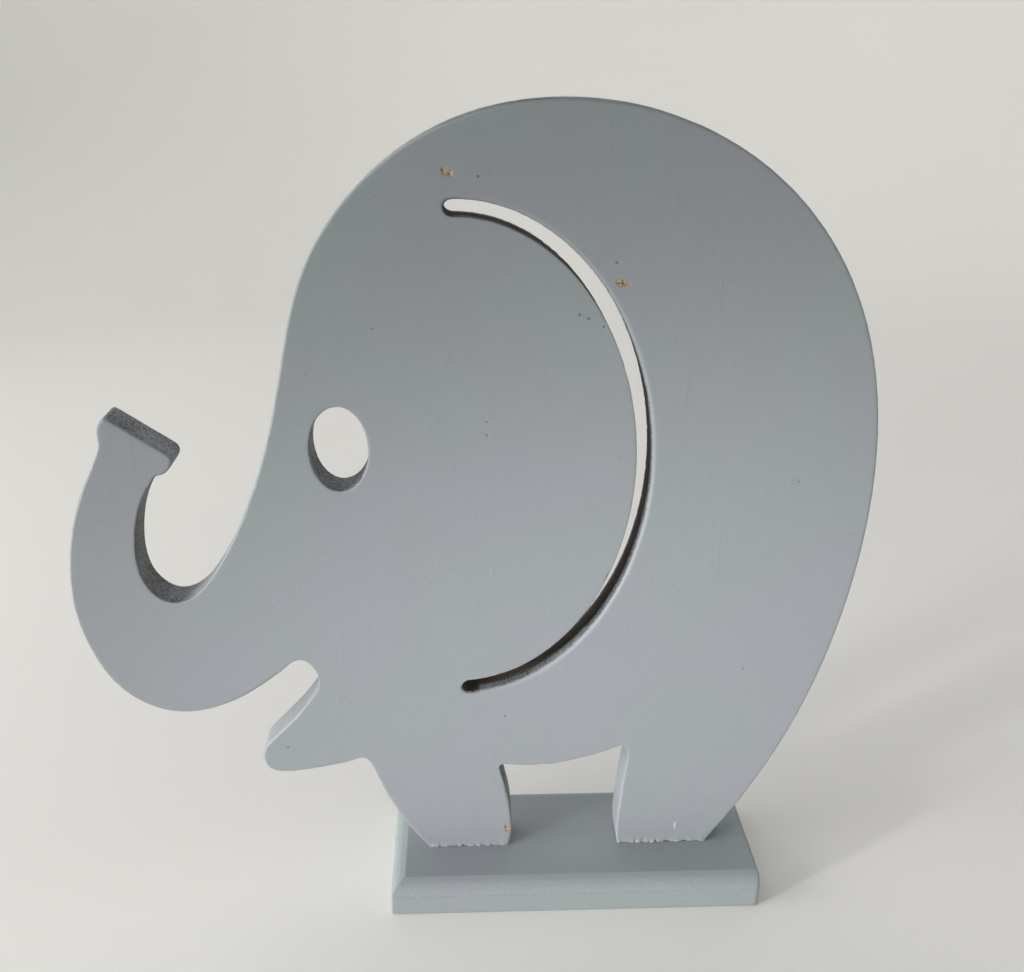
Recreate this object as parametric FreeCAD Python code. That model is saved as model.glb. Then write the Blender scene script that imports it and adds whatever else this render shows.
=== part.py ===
import FreeCAD, Part
import math
import os

# Standing elephant cut from fibreboard, screwed down onto a moulded plinth.
# Frame: origin at the centre of the plinth's underside, +Z up, the trunk
# points to -X and the flat front face looks to -Y. Lengths are millimetres.

# Board stock
STOCK = 15.0                    # the silhouette and the plinth are cut from one board
EDGE_EASE = 1.0                 # sanded rounding of the silhouette's cut edges

# Plinth
PLINTH_LENGTH = 160.0
PLINTH_DEPTH = 65.0
PLINTH_ROUNDOVER = 6.0          # routed along the front, the back and the trunk end
PLINTH_END_EASE = 1.2           # the rump end is cut square and only sanded
PLINTH_SQUARE_CORNER = 2.0      # plan rounding of the upright edges at the rump end
PLINTH_ROUTED_CORNER = 0.8      # plan rounding of the upright edges at the trunk end

# Ear slot: a six millimetre cutter run along half an ellipse
EAR_CENTRE = (-49.4, 196.7)
EAR_HALF_WIDTH = 72.5           # from the ellipse's centre to the middle of the slot
EAR_HALF_HEIGHT = 98.5
EAR_SLOT_WIDTH = 6.0
EAR_TOP_ANGLE = 91.0            # degrees round the ellipse, from +X towards +Z
EAR_BOTTOM_ANGLE = -87.0

# Eye: an upright oval hole
EYE_CENTRE = (-94.8, 204.6)
EYE_HALF_WIDTH = 11.3
EYE_HALF_HEIGHT = 17.2

# Countersunk wood screws, one up into each foot
SCREW_LENGTH = 30.0
SCREW_MAJOR = 3.5
SCREW_CORE = 2.4
SCREW_HEAD = 7.0
SCREW_HEAD_RIM = 0.4            # straight band round the widest part of the head
SCREW_HEAD_DROP = 0.3           # how far the head sits above the plinth's underside
SCREW_PITCH = 1.6
SCREW_THREAD_START = 12.0       # plain shank below the head, measured from its face
SCREW_POINT = 4.0
THREAD_CREST = 0.2              # flat on top of each thread ridge
RECESS_WIDTH = 0.9
RECESS_REACH = 4.0
RECESS_DEPTH = 1.6
PILOT_CLEARANCE = 0.1           # added to the thread's diameter for the drilled holes
PILOT_EXTRA_DEPTH = 1.0
FRONT_SCREW_X = -46.0
HIND_SCREW_X = 40.0

SHEET_FRONT = -STOCK / 2.0
SHEET_BACK = STOCK / 2.0
OVERSIZE = 10.0                 # how far cutting tools run past the stock
TOLERANCE = 0.01
SPANS_PER_EDGE = 4              # how many spans of a smooth stroke one edge takes

# Outline strokes, as (x, z) on the sheet, in order round the silhouette.
# The soles of both feet are straight and lie on the plinth's top face.
FRONT_TOE = (-64.2, STOCK)
FRONT_HEEL = (-28.5, STOCK)
HIND_TOE = (20.3, STOCK)
HIND_HEEL = (60.3, STOCK)
LIP_NOTCH = (-166.9, 192.0)
LIP_CORNER = (-159.0, 202.6)
TIP_CORNER = (-181.6, 218.2)

# Up the back of the front leg, along the belly and down the hind leg
LEG_GAP = [
    FRONT_HEEL, (-27.3, 21.0), (-27.4, 31.0), (-29.4, 43.5), (-32.5, 55.2),
    (-32.6, 58.2), (-29.8, 58.5), (-20.0, 57.7), (-8.0, 58.5), (5.0, 61.8), (16.5, 65.8),
    (21.2, 67.0), (22.9, 63.8), (22.3, 55.0), (20.6, 39.0), (19.6, 25.0), HIND_TOE,
]
# Up the rump, over the back and the head, down the brow and round the curl
BACK = [
    HIND_HEEL, (81.5, 50.0), (98.0, 88.0), (110.2, 135.0), (115.0, 184.0), (111.5, 226.0),
    (97.5, 267.5), (71.0, 301.8), (34.5, 324.2), (-8.0, 332.0), (-49.5, 324.8),
    (-84.5, 301.8), (-104.5, 273.0), (-114.0, 241.0), (-121.6, 209.0), (-132.5, 179.0),
    (-148.0, 150.2), (-155.5, 142.2), (-164.2, 139.6), (-172.3, 144.8), (-176.2, 154.5),
    (-176.4, 165.0), (-174.6, 176.0), (-171.2, 185.5), LIP_NOTCH,
]
# The rounded outer end of the flared trunk tip
LIP = [LIP_NOTCH, (-165.2, 194.2), (-162.2, 194.9), (-159.4, 197.6), (-158.2, 200.6), LIP_CORNER]
# Down the outside of the trunk and along under it to the mouth
TRUNK = [
    TIP_CORNER, (-184.3, 215.4), (-185.3, 211.0), (-185.2, 206.5), (-186.9, 201.8),
    (-193.3, 189.6), (-199.4, 173.5), (-203.2, 154.5), (-203.5, 136.0), (-199.6, 118.5),
    (-190.8, 101.3), (-179.0, 91.5), (-165.0, 87.8), (-151.0, 90.1), (-138.4, 95.9),
    (-127.5, 103.6), (-121.3, 108.9), (-117.8, 111.7), (-114.3, 112.0), (-110.9, 109.4),
    (-108.4, 104.2), (-108.9, 98.4),
]
# The tusk, the corner under it and the front of the leg
TUSK = [
    TRUNK[-1], (-113.3, 91.3), (-121.0, 82.3), (-129.3, 73.6), (-133.4, 68.0), (-134.0, 63.0),
    (-131.4, 58.4), (-126.0, 56.8), (-112.5, 58.1), (-101.5, 60.3), (-94.3, 62.7),
    (-90.8, 63.2), (-88.5, 60.9), (-84.7, 50.8), (-78.7, 37.0), (-71.5, 24.8), FRONT_TOE,
]


def on_sheet(point, y):
    """Turn an (x, z) pair on the sheet into a point in space."""
    return FreeCAD.Vector(point[0], y, point[1])


def line(start, end, y):
    """A straight edge between two (x, z) pairs."""
    return Part.makeLine(on_sheet(start, y), on_sheet(end, y))


def smooth(points, y):
    """One smooth curve through the given (x, z) pairs, as a chain of short edges."""
    curve = Part.BSplineCurve()
    curve.interpolate([on_sheet(point, y) for point in points])
    knots = curve.getKnots()
    cuts = knots[:-1:SPANS_PER_EDGE] + knots[-1:]
    return [curve.toShape(start, end) for start, end in zip(cuts, cuts[1:])]


def prism(edges, direction):
    """A solid swept straight from the closed outline that the edges make."""
    wire = Part.Wire(Part.__sortEdges__(edges))
    return Part.Face(wire).extrude(direction)


def silhouette():
    """The elephant's outside shape as a plain slab of board."""
    edges = [
        line(FRONT_TOE, FRONT_HEEL, SHEET_FRONT),
        *smooth(LEG_GAP, SHEET_FRONT),
        line(HIND_TOE, HIND_HEEL, SHEET_FRONT),
        *smooth(BACK, SHEET_FRONT),
        *smooth(LIP, SHEET_FRONT),
        line(LIP_CORNER, TIP_CORNER, SHEET_FRONT),
        *smooth(TRUNK, SHEET_FRONT),
        *smooth(TUSK, SHEET_FRONT),
    ]
    return prism(edges, FreeCAD.Vector(0.0, STOCK, 0.0))


def ellipse_point(centre, half_width, half_height, degrees):
    """The (x, z) pair at an angle round an upright ellipse."""
    angle = math.radians(degrees)
    return (centre[0] + half_width * math.cos(angle), centre[1] + half_height * math.sin(angle))


def ellipse_curve(centre, half_width, half_height, y):
    """An upright ellipse, taller than it is wide, in the plane of the sheet."""
    middle = on_sheet(centre, y)
    top = on_sheet((centre[0], centre[1] + half_height), y)
    side = on_sheet((centre[0] + half_width, centre[1]), y)
    return Part.Ellipse(top, side, middle)


def slot_side(offset, y):
    """One long side of the ear slot, offset outwards from its middle line."""
    half_width = EAR_HALF_WIDTH + offset
    half_height = EAR_HALF_HEIGHT + offset
    curve = ellipse_curve(EAR_CENTRE, half_width, half_height, y)
    ends = [
        curve.parameter(on_sheet(ellipse_point(EAR_CENTRE, half_width, half_height, angle), y))
        for angle in (EAR_BOTTOM_ANGLE, EAR_TOP_ANGLE)
    ]
    edge = curve.toShape(ends[0], ends[1])
    if edge.CenterOfMass.x < EAR_CENTRE[0]:
        edge = curve.toShape(ends[1], ends[0])
    return edge


def slot_end(degrees, turn, y):
    """The half-round end of the ear slot; turn is the way that the cutter leaves."""
    radius = EAR_SLOT_WIDTH / 2.0
    inner = ellipse_point(EAR_CENTRE, EAR_HALF_WIDTH - radius, EAR_HALF_HEIGHT - radius, degrees)
    outer = ellipse_point(EAR_CENTRE, EAR_HALF_WIDTH + radius, EAR_HALF_HEIGHT + radius, degrees)
    middle = ellipse_point(EAR_CENTRE, EAR_HALF_WIDTH, EAR_HALF_HEIGHT, degrees)
    across = FreeCAD.Vector(outer[0] - inner[0], 0.0, outer[1] - inner[1])
    along = across.cross(FreeCAD.Vector(0.0, turn, 0.0)).normalize().multiply(radius)
    tip = on_sheet(middle, y).add(along)
    return Part.Arc(on_sheet(inner, y), tip, on_sheet(outer, y)).toShape()


def ear_slot():
    """The cutter's path for the ear, right through the sheet."""
    radius = EAR_SLOT_WIDTH / 2.0
    start = SHEET_FRONT - OVERSIZE
    edges = [
        slot_side(-radius, start),
        slot_side(radius, start),
        slot_end(EAR_TOP_ANGLE, 1.0, start),
        slot_end(EAR_BOTTOM_ANGLE, -1.0, start),
    ]
    return prism(edges, FreeCAD.Vector(0.0, STOCK + 2.0 * OVERSIZE, 0.0))


def eye_hole():
    """The oval eye, right through the sheet."""
    start = SHEET_FRONT - OVERSIZE
    edge = ellipse_curve(EYE_CENTRE, EYE_HALF_WIDTH, EYE_HALF_HEIGHT, start).toShape()
    return prism([edge], FreeCAD.Vector(0.0, STOCK + 2.0 * OVERSIZE, 0.0))


def face_rim(solid):
    """The edges round the sheet's front and back faces, without the soles."""
    rim = []
    for edge in solid.Edges:
        box = edge.BoundBox
        flat = box.YLength < TOLERANCE
        sole = box.ZMax < STOCK + TOLERANCE
        if flat and not sole:
            rim.append(edge)
    return rim


def cylinder(radius, x, bottom, top):
    """An upright cylinder on the sheet's middle plane."""
    return Part.makeCylinder(radius, top - bottom, FreeCAD.Vector(x, 0.0, bottom))


def elephant_panel():
    """The silhouette with its ear slot, eye, eased edges and drilled feet."""
    panel = silhouette().cut(ear_slot()).cut(eye_hole())
    panel = panel.makeFillet(EDGE_EASE, face_rim(panel))
    pilot_top = SCREW_HEAD_DROP + SCREW_LENGTH + PILOT_EXTRA_DEPTH
    pilot_radius = (SCREW_MAJOR + PILOT_CLEARANCE) / 2.0
    for x in (FRONT_SCREW_X, HIND_SCREW_X):
        panel = panel.cut(cylinder(pilot_radius, x, STOCK - OVERSIZE, pilot_top))
    return panel


def rounded_top(half_width, low_radius, high_radius):
    """The corners of a plinth section, and the middles of its two top roundings.

    All are (u, z) pairs, with u from -half_width to half_width. The low radius
    belongs to the rounding at -half_width.
    """
    diagonal = 1.0 - math.sqrt(0.5)
    corners = [
        (-half_width, 0.0), (half_width, 0.0), (half_width, STOCK - high_radius),
        (half_width - high_radius, STOCK), (-half_width + low_radius, STOCK),
        (-half_width, STOCK - low_radius),
    ]
    high_middle = (half_width - high_radius * diagonal, STOCK - high_radius * diagonal)
    low_middle = (-half_width + low_radius * diagonal, STOCK - low_radius * diagonal)
    return corners, high_middle, low_middle


def section_prism(section, place, sweep):
    """Sweep a rounded section; place turns a (u, z) pair into a point."""
    corners, high_middle, low_middle = section
    points = [place(u, z) for u, z in corners]
    edges = [
        Part.makeLine(points[0], points[1]),
        Part.makeLine(points[1], points[2]),
        Part.Arc(points[2], place(high_middle[0], high_middle[1]), points[3]).toShape(),
        Part.makeLine(points[3], points[4]),
        Part.Arc(points[4], place(low_middle[0], low_middle[1]), points[5]).toShape(),
        Part.makeLine(points[5], points[0]),
    ]
    return prism(edges, sweep)


def plinth_plan():
    """The plinth's plan swept upwards, with its upright edges rounded."""
    block = Part.makeBox(
        PLINTH_LENGTH, PLINTH_DEPTH, STOCK,
        FreeCAD.Vector(-PLINTH_LENGTH / 2.0, -PLINTH_DEPTH / 2.0, 0.0),
    )
    upright = [edge for edge in block.Edges if edge.BoundBox.ZLength > STOCK / 2.0]
    square_end = [edge for edge in upright if edge.CenterOfMass.x > 0.0]
    block = block.makeFillet(PLINTH_SQUARE_CORNER, square_end)
    upright = [
        edge for edge in block.Edges
        if edge.BoundBox.ZLength > STOCK / 2.0 and edge.CenterOfMass.x < 0.0
    ]
    return block.makeFillet(PLINTH_ROUTED_CORNER, upright)


def countersink(x):
    """The clearance hole and conical seat for one screw, up through the plinth."""
    hole = cylinder((SCREW_MAJOR + PILOT_CLEARANCE) / 2.0, x, -OVERSIZE, STOCK + OVERSIZE)
    head_radius = SCREW_HEAD / 2.0
    rim = cylinder(head_radius, x, -OVERSIZE, SCREW_HEAD_DROP + SCREW_HEAD_RIM)
    seat = Part.makeCone(
        head_radius, SCREW_MAJOR / 2.0, head_radius - SCREW_MAJOR / 2.0,
        FreeCAD.Vector(x, 0.0, SCREW_HEAD_DROP + SCREW_HEAD_RIM),
    )
    return hole.fuse(rim).fuse(seat)


def plinth():
    """The moulded plinth: routed on three sides, square and sanded at the rump end."""
    half_length = PLINTH_LENGTH / 2.0
    half_depth = PLINTH_DEPTH / 2.0
    along = section_prism(
        rounded_top(half_length, PLINTH_ROUNDOVER, PLINTH_END_EASE),
        lambda u, z: FreeCAD.Vector(u, -half_depth, z),
        FreeCAD.Vector(0.0, PLINTH_DEPTH, 0.0),
    )
    across = section_prism(
        rounded_top(half_depth, PLINTH_ROUNDOVER, PLINTH_ROUNDOVER),
        lambda u, z: FreeCAD.Vector(-half_length, u, z),
        FreeCAD.Vector(PLINTH_LENGTH, 0.0, 0.0),
    )
    body = along.common(across).common(plinth_plan())
    for x in (FRONT_SCREW_X, HIND_SCREW_X):
        body = body.cut(countersink(x))
    return body


def thread_profile(start, end):
    """The screw's radius against height along its thread, ridge by ridge."""
    points = []
    crest = SCREW_MAJOR / 2.0
    core = SCREW_CORE / 2.0
    flank = (SCREW_PITCH - THREAD_CREST) / 2.0
    count = int((end - start) / SCREW_PITCH)
    for number in range(count):
        base = start + number * SCREW_PITCH
        points.append((core, base))
        points.append((crest, base + flank))
        points.append((crest, base + flank + THREAD_CREST))
    points.append((core, start + count * SCREW_PITCH))
    return points


def screw(x):
    """One countersunk wood screw, standing point upwards in its hole."""
    bottom = SCREW_HEAD_DROP
    head_radius = SCREW_HEAD / 2.0
    shank = SCREW_MAJOR / 2.0
    neck = bottom + SCREW_HEAD_RIM + head_radius - shank
    thread_start = bottom + SCREW_THREAD_START
    point_start = bottom + SCREW_LENGTH - SCREW_POINT
    profile = [
        (0.0, bottom), (head_radius, bottom), (head_radius, bottom + SCREW_HEAD_RIM),
        (shank, neck), (shank, thread_start),
    ]
    profile += thread_profile(thread_start + THREAD_CREST, point_start)
    profile += [(0.0, bottom + SCREW_LENGTH), (0.0, bottom)]
    wire = Part.makePolygon([FreeCAD.Vector(x + radius, 0.0, height) for radius, height in profile])
    axis_foot = FreeCAD.Vector(x, 0.0, 0.0)
    body = Part.Face(wire).revolve(axis_foot, FreeCAD.Vector(0.0, 0.0, 1.0), 360.0)
    for size in ((RECESS_REACH, RECESS_WIDTH), (RECESS_WIDTH, RECESS_REACH)):
        corner = FreeCAD.Vector(x - size[0] / 2.0, -size[1] / 2.0, bottom - RECESS_DEPTH)
        body = body.cut(Part.makeBox(size[0], size[1], 2.0 * RECESS_DEPTH, corner))
    return body


def main():
    """Write every piece to its own file."""
    os.makedirs("parts", exist_ok=True)
    pieces = {
        "elephant_panel": elephant_panel(),
        "plinth": plinth(),
        "front_leg_screw": screw(FRONT_SCREW_X),
        "hind_leg_screw": screw(HIND_SCREW_X),
    }
    for name, shape in pieces.items():
        shape.exportStep("parts/" + name + ".step")


main()
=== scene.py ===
import math

import bmesh
import bpy
import numpy as np
from mathutils import Matrix, Vector, noise
from mathutils.geometry import delaunay_2d_cdt


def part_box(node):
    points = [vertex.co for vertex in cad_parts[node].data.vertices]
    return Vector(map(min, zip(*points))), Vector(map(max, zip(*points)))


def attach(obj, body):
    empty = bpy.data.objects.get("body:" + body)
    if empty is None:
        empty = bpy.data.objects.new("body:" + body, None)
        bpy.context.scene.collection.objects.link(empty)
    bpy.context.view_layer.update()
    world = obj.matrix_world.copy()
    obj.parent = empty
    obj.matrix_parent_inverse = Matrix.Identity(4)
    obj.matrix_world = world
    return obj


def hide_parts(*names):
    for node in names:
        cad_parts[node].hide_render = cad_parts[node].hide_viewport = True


# A flat fibreboard elephant on a moulded plinth, painted blue-grey. The panel and the plinth are
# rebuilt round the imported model's own outlines, with sanded edges, rough sawn walls, nicks and
# paint chips as real relief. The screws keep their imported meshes. Lengths are metres.

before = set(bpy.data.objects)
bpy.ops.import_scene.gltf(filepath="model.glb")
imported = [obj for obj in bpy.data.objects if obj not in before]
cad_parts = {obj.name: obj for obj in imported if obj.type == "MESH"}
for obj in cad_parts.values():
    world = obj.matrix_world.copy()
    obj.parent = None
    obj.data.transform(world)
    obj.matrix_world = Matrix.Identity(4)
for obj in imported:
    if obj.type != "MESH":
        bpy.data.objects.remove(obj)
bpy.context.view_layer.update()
MM = 0.001

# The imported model's board, and the sizes its edges were made with
PANEL_LOW, PANEL_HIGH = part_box("elephant_panel")
PLINTH_LOW, PLINTH_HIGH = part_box("plinth")
HALF_BOARD = (PANEL_HIGH.y - PANEL_LOW.y) / 2.0
SOLE_Z = PANEL_LOW.z
EDGE_EASE = 1.0 * MM
ROUNDOVER = 6.0 * MM

# The plinth's looks: the routed curve stops short of a quarter turn, so it meets the flat top in
# a crease, and the sawn end is only eased
ROUTED_TURN = math.radians(66.0)
ROUTED_STRIPS = 14
CREASE_SUPPORT = 0.35 * MM
END_EASE = 1.2 * MM
TORN_WIDTH = 0.9 * MM
TORN_HEIGHT = 0.22 * MM
PLINTH_STEP = 2.5 * MM

# The panel's edges: a crisp rim inside the ear slot, a soft one outside it, and small nicks
EYE_EASE = 0.7 * MM
EYE_BARE = 0.25
SLOT_INNER_EASE = 0.45 * MM
SLOT_OUTER_EASE = 1.70 * MM
SLOT_BACK_EASE = 0.5 * MM
NICK_DEPTH = 0.28 * MM

# The faces' slight unevenness, and the sawn walls' fibres, ripples and torn rims
FACE_SWELL = 0.03 * MM
FACE_RIPPLE = 0.015 * MM
WALL_FIBRES = 0.07 * MM
WALL_RIPPLES = 0.05 * MM
TORN_DEPTH = 0.45 * MM

# Mesh spacing
FINE_STEP = 0.25 * MM
COLUMN_STEP = 1.0 * MM
SLOT_COLUMN_STEP = 0.75 * MM
FACE_STEP = 3.2 * MM
CORNER_BLUR = 0.9 * MM
ROUNDING_STRIPS = 5
WALL_STRIPS = 13
SUPPORT_WIDTH = 0.8 * MM
SOLE_STEP = 0.5 * MM
HOLE_SIDES = 48

# Screw holes
PILOT_RADIUS = 1.8 * MM
PILOT_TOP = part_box("front_leg_screw")[1].z + 1.0 * MM
HEAD_RADIUS = 3.5 * MM
HEAD_RIM_Z = 0.7 * MM

# Paint chips on the front face: (x, z, half width, half height, turn in degrees)
CHIPS = [
    (-0.0521, 0.3078, 2.1 * MM, 1.4 * MM, -30.0),
    (0.0114, 0.2686, 2.4 * MM, 1.4 * MM, -8.0),
    (-0.0289, 0.0241, 1.4 * MM, 2.1 * MM, 8.0),
]
CHIP_DEPTH = 0.35 * MM
# Pin-pricks and small dents in the front face: (x, z, radius)
PITS = [
    (-0.0381, 0.2154, 0.40 * MM), (-0.0381, 0.2102, 0.40 * MM), (-0.0305, 0.0834, 0.45 * MM),
    (-0.0039, 0.2570, 0.60 * MM), (-0.0005, 0.2556, 0.55 * MM), (0.0052, 0.2524, 0.50 * MM),
    (0.0089, 0.2761, 0.50 * MM), (-0.0410, 0.3062, 0.45 * MM), (-0.1230, 0.0696, 0.45 * MM),
    (0.0700, 0.1050, 0.40 * MM), (0.0850, 0.1900, 0.40 * MM), (-0.0800, 0.2520, 0.35 * MM),
]
PIT_DEPTH = 0.25 * MM
# A run of paint on the hind leg, and a knock on the trunk's edge
DRIP = (0.0464, 0.0240, 1.0 * MM, 2.2 * MM, 0.0)
DRIP_HEIGHT = 0.30 * MM
KNOCK = (-0.1889, 0.1980)
KNOCK_RADIUS = 1.3 * MM
KNOCK_DEPTH = 0.45 * MM
# The bead of paint along each foot
BEAD_HEIGHT = 0.8 * MM
THINNEST_BEAD = 0.15
# Where the ear slot's wall turns to dark bare board, as shares of the board's thickness from each
# face, and how far from the slot's tips it is bare: the paint stopped there, and the dark board is
# also painted shade deep in the slot
FRONT_PAINTED, FRONT_FADE = 0.10, 0.45
BACK_PAINTED, BACK_FADE = 0.05, 0.20
BARE_SLOT_END = 3.5 * MM
# Painted light on the sawn walls: how much lighter the walls facing the window on the trunk's side
# are drawn, close to the face's paint, and how much darker the hollows facing away from it on the
# rump's side are drawn, as painted shade
WINDOW_SIDE_LIGHTENING = 0.45
HOLLOW_SHADE_DARKENING = 0.35


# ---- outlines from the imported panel

def wall_edges():
    """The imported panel's edges where its wall meets its front rounding, and their ends' places."""
    packed = bmesh.new()
    packed.from_mesh(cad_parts["elephant_panel"].data)
    bmesh.ops.remove_doubles(packed, verts=packed.verts, dist=0.01 * MM)
    level = -HALF_BOARD + EDGE_EASE
    on_level = {v.index for v in packed.verts if abs(v.co.y - level) < 0.01 * MM}
    links = {}
    places = {v.index: (v.co.x, v.co.z) for v in packed.verts}
    for edge in packed.edges:
        a, b = (v.index for v in edge.verts)
        if a in on_level and b in on_level:
            links.setdefault(a, set()).add(b)
            links.setdefault(b, set()).add(a)
    packed.free()
    return links, places


def wall_chains():
    """Those edges joined up into chains of (x, z) points: (points, whether it is closed)."""
    links, places = wall_edges()
    chains = []
    unused = set(links)
    while unused:
        ends = sorted(v for v in unused if len(links[v]) == 1)
        here = ends[0] if ends else min(unused)
        chain = [here]
        unused.discard(here)
        while True:
            onward = sorted(links[here] & unused)
            if not onward:
                break
            here = onward[0]
            unused.discard(here)
            chain.append(here)
        closed = chain[0] in links[chain[-1]] and len(chain) > 2
        chains.append((np.array([places[v] for v in chain]), closed))
    return chains


def lengths_along(points):
    """The distance along a polyline to each of its points."""
    return np.concatenate([[0.0], np.cumsum(np.hypot(*np.diff(points, axis=0).T))])


def evenly(points, step):
    """Points evenly spaced along a polyline, about a step apart."""
    along = lengths_along(points)
    count = max(2, int(round(along[-1] / step)) + 1)
    places = np.linspace(0.0, along[-1], count)
    return np.column_stack([np.interp(places, along, points[:, axis]) for axis in (0, 1)])


def blurred(points, closed, blur):
    """A finely spaced polyline with its corners and facets softened; open ends stay put."""
    reach = int(4.0 * blur / FINE_STEP)
    offsets = np.arange(-reach, reach + 1)
    kernel = np.exp(-0.5 * (offsets * FINE_STEP / blur) ** 2)
    kernel /= kernel.sum()
    if closed:
        padded = np.vstack([points[-reach:], points, points[:reach]])
    else:
        before = 2.0 * points[0] - points[reach:0:-1]
        after = 2.0 * points[-1] - points[-2:-reach - 2:-1]
        padded = np.vstack([before, points, after])
    return np.column_stack([np.convolve(padded[:, axis], kernel, "valid") for axis in (0, 1)])


def signed_area(points):
    """Positive for a loop that runs anticlockwise, with x to the right and z up."""
    x, z = points.T
    return 0.5 * float(np.sum(x * np.roll(z, -1) - np.roll(x, -1) * z))


def columns_of(points, closed, step):
    """A chain softened and spaced as the mesh's columns; a closed chain's end isn't repeated."""
    if closed:
        points = np.vstack([points, points[:1]])
    fine = evenly(points, FINE_STEP)
    if closed:
        fine = blurred(fine[:-1], True, CORNER_BLUR)
        fine = np.vstack([fine, fine[:1]])
        return evenly(fine, step)[:-1]
    return evenly(blurred(fine, False, CORNER_BLUR), step)


def wall_normals(points, closed):
    """Unit vectors out of the board, for a chain that keeps the board on its left."""
    if closed:
        forward = np.roll(points, -1, axis=0) - np.roll(points, 1, axis=0)
    else:
        forward = np.gradient(points, axis=0)
    forward /= np.hypot(*forward.T)[:, None]
    return np.column_stack([forward[:, 1], -forward[:, 0]])


# ---- relief

def value_noise(points, scale, seed):
    """Smooth noise from -1 to 1 at each point, whose bumps are about scale apart."""
    shift = Vector((seed * 17.3, seed * -9.1, seed * 5.7))
    return np.array([noise.noise(Vector(p) / scale + shift) for p in points])


def in_spot(x, z, spot_x, spot_z, half_width, half_height, turn):
    """Distance from a spot's middle, where 1 is its rim."""
    angle = math.radians(turn)
    u = (x - spot_x) * math.cos(angle) + (z - spot_z) * math.sin(angle)
    v = -(x - spot_x) * math.sin(angle) + (z - spot_z) * math.cos(angle)
    return np.hypot(u / half_width, v / half_height)


def face_relief(places):
    """How far the front face is pushed in at each place: chips, pits and a faint unevenness."""
    x, z = places[:, 0], places[:, 2]
    depth = FACE_SWELL * value_noise(places, 18.0 * MM, 1)
    depth += FACE_RIPPLE * value_noise(places, 5.0 * MM, 2)
    ragged = 0.25 * value_noise(places, 0.9 * MM, 3)
    for spot_x, spot_z, half_width, half_height, turn in CHIPS:
        away = in_spot(x, z, spot_x, spot_z, half_width, half_height, turn) + ragged
        depth += CHIP_DEPTH * np.clip((1.1 - away) / 0.25, 0.0, 1.0)
    for spot_x, spot_z, radius in PITS:
        away = np.hypot(x - spot_x, z - spot_z) / radius
        depth += PIT_DEPTH * np.clip(1.15 - away, 0.0, 1.0)
    return depth - DRIP_HEIGHT * np.clip(1.0 - in_spot(x, z, *DRIP), 0.0, 1.0) ** 0.7


def back_relief(places):
    """How far the back face moves along y: only its faint unevenness."""
    return -FACE_SWELL * value_noise(places, 18.0 * MM, 1)


def top_relief(places):
    """How far the plinth's flat top moves along z."""
    return -0.02 * MM * (1.0 + value_noise(places, 12.0 * MM, 13))


def refined_points():
    """Closely spaced places round each chip and pit, so that the mesh can hold them."""
    found = []
    spots = [(x, z, 1.5 * max(w, h), 0.28 * MM) for x, z, w, h, _ in [*CHIPS, DRIP]]
    spots += [(x, z, 1.6 * radius, 0.2 * MM) for x, z, radius in PITS]
    for spot_x, spot_z, reach, step in spots:
        count = int(math.ceil(reach / step))
        for row in range(-count, count + 1):
            for column in range(-count, count + 1):
                u = (column + 0.5 * (row % 2)) * step
                v = row * step * 0.87
                if math.hypot(u, v) < reach:
                    found.append((spot_x + u, spot_z + v))
    return found


# ---- mesh helpers

def inside_loop(points, loop):
    """Which points lie inside a closed loop."""
    x, z = points[:, 0][:, None], points[:, 1][:, None]
    x0, z0 = loop.T
    x1, z1 = np.roll(x0, -1), np.roll(z0, -1)
    spans = (z0[None] > z) != (z1[None] > z)
    rise = np.where(np.abs(z1 - z0) < 1e-12, 1e-12, z1 - z0)
    crossing = x0 + (z - z0) * (x1 - x0) / rise
    return np.sum(spans & (x < crossing), axis=1) % 2 == 1


def clear_of(points, edge_points, gap):
    """Which points are at least a gap away from every edge point."""
    keep = np.ones(len(points), bool)
    for start in range(0, len(points), 2000):
        block = points[start:start + 2000]
        away = np.hypot(
            block[:, 0][:, None] - edge_points[:, 0][None],
            block[:, 1][:, None] - edge_points[:, 1][None],
        )
        keep[start:start + 2000] = away.min(axis=1) > gap
    return keep


def triangle_grid(low, high, step):
    """Places on a triangular grid over a rectangle."""
    rows = []
    row_step = step * math.sqrt(0.75)
    for row, v in enumerate(np.arange(low[1], high[1], row_step)):
        u = np.arange(low[0] + step * 0.5 * (row % 2), high[0], step)
        rows.append(np.column_stack([u, np.full(len(u), v)]))
    return np.vstack(rows)


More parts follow.
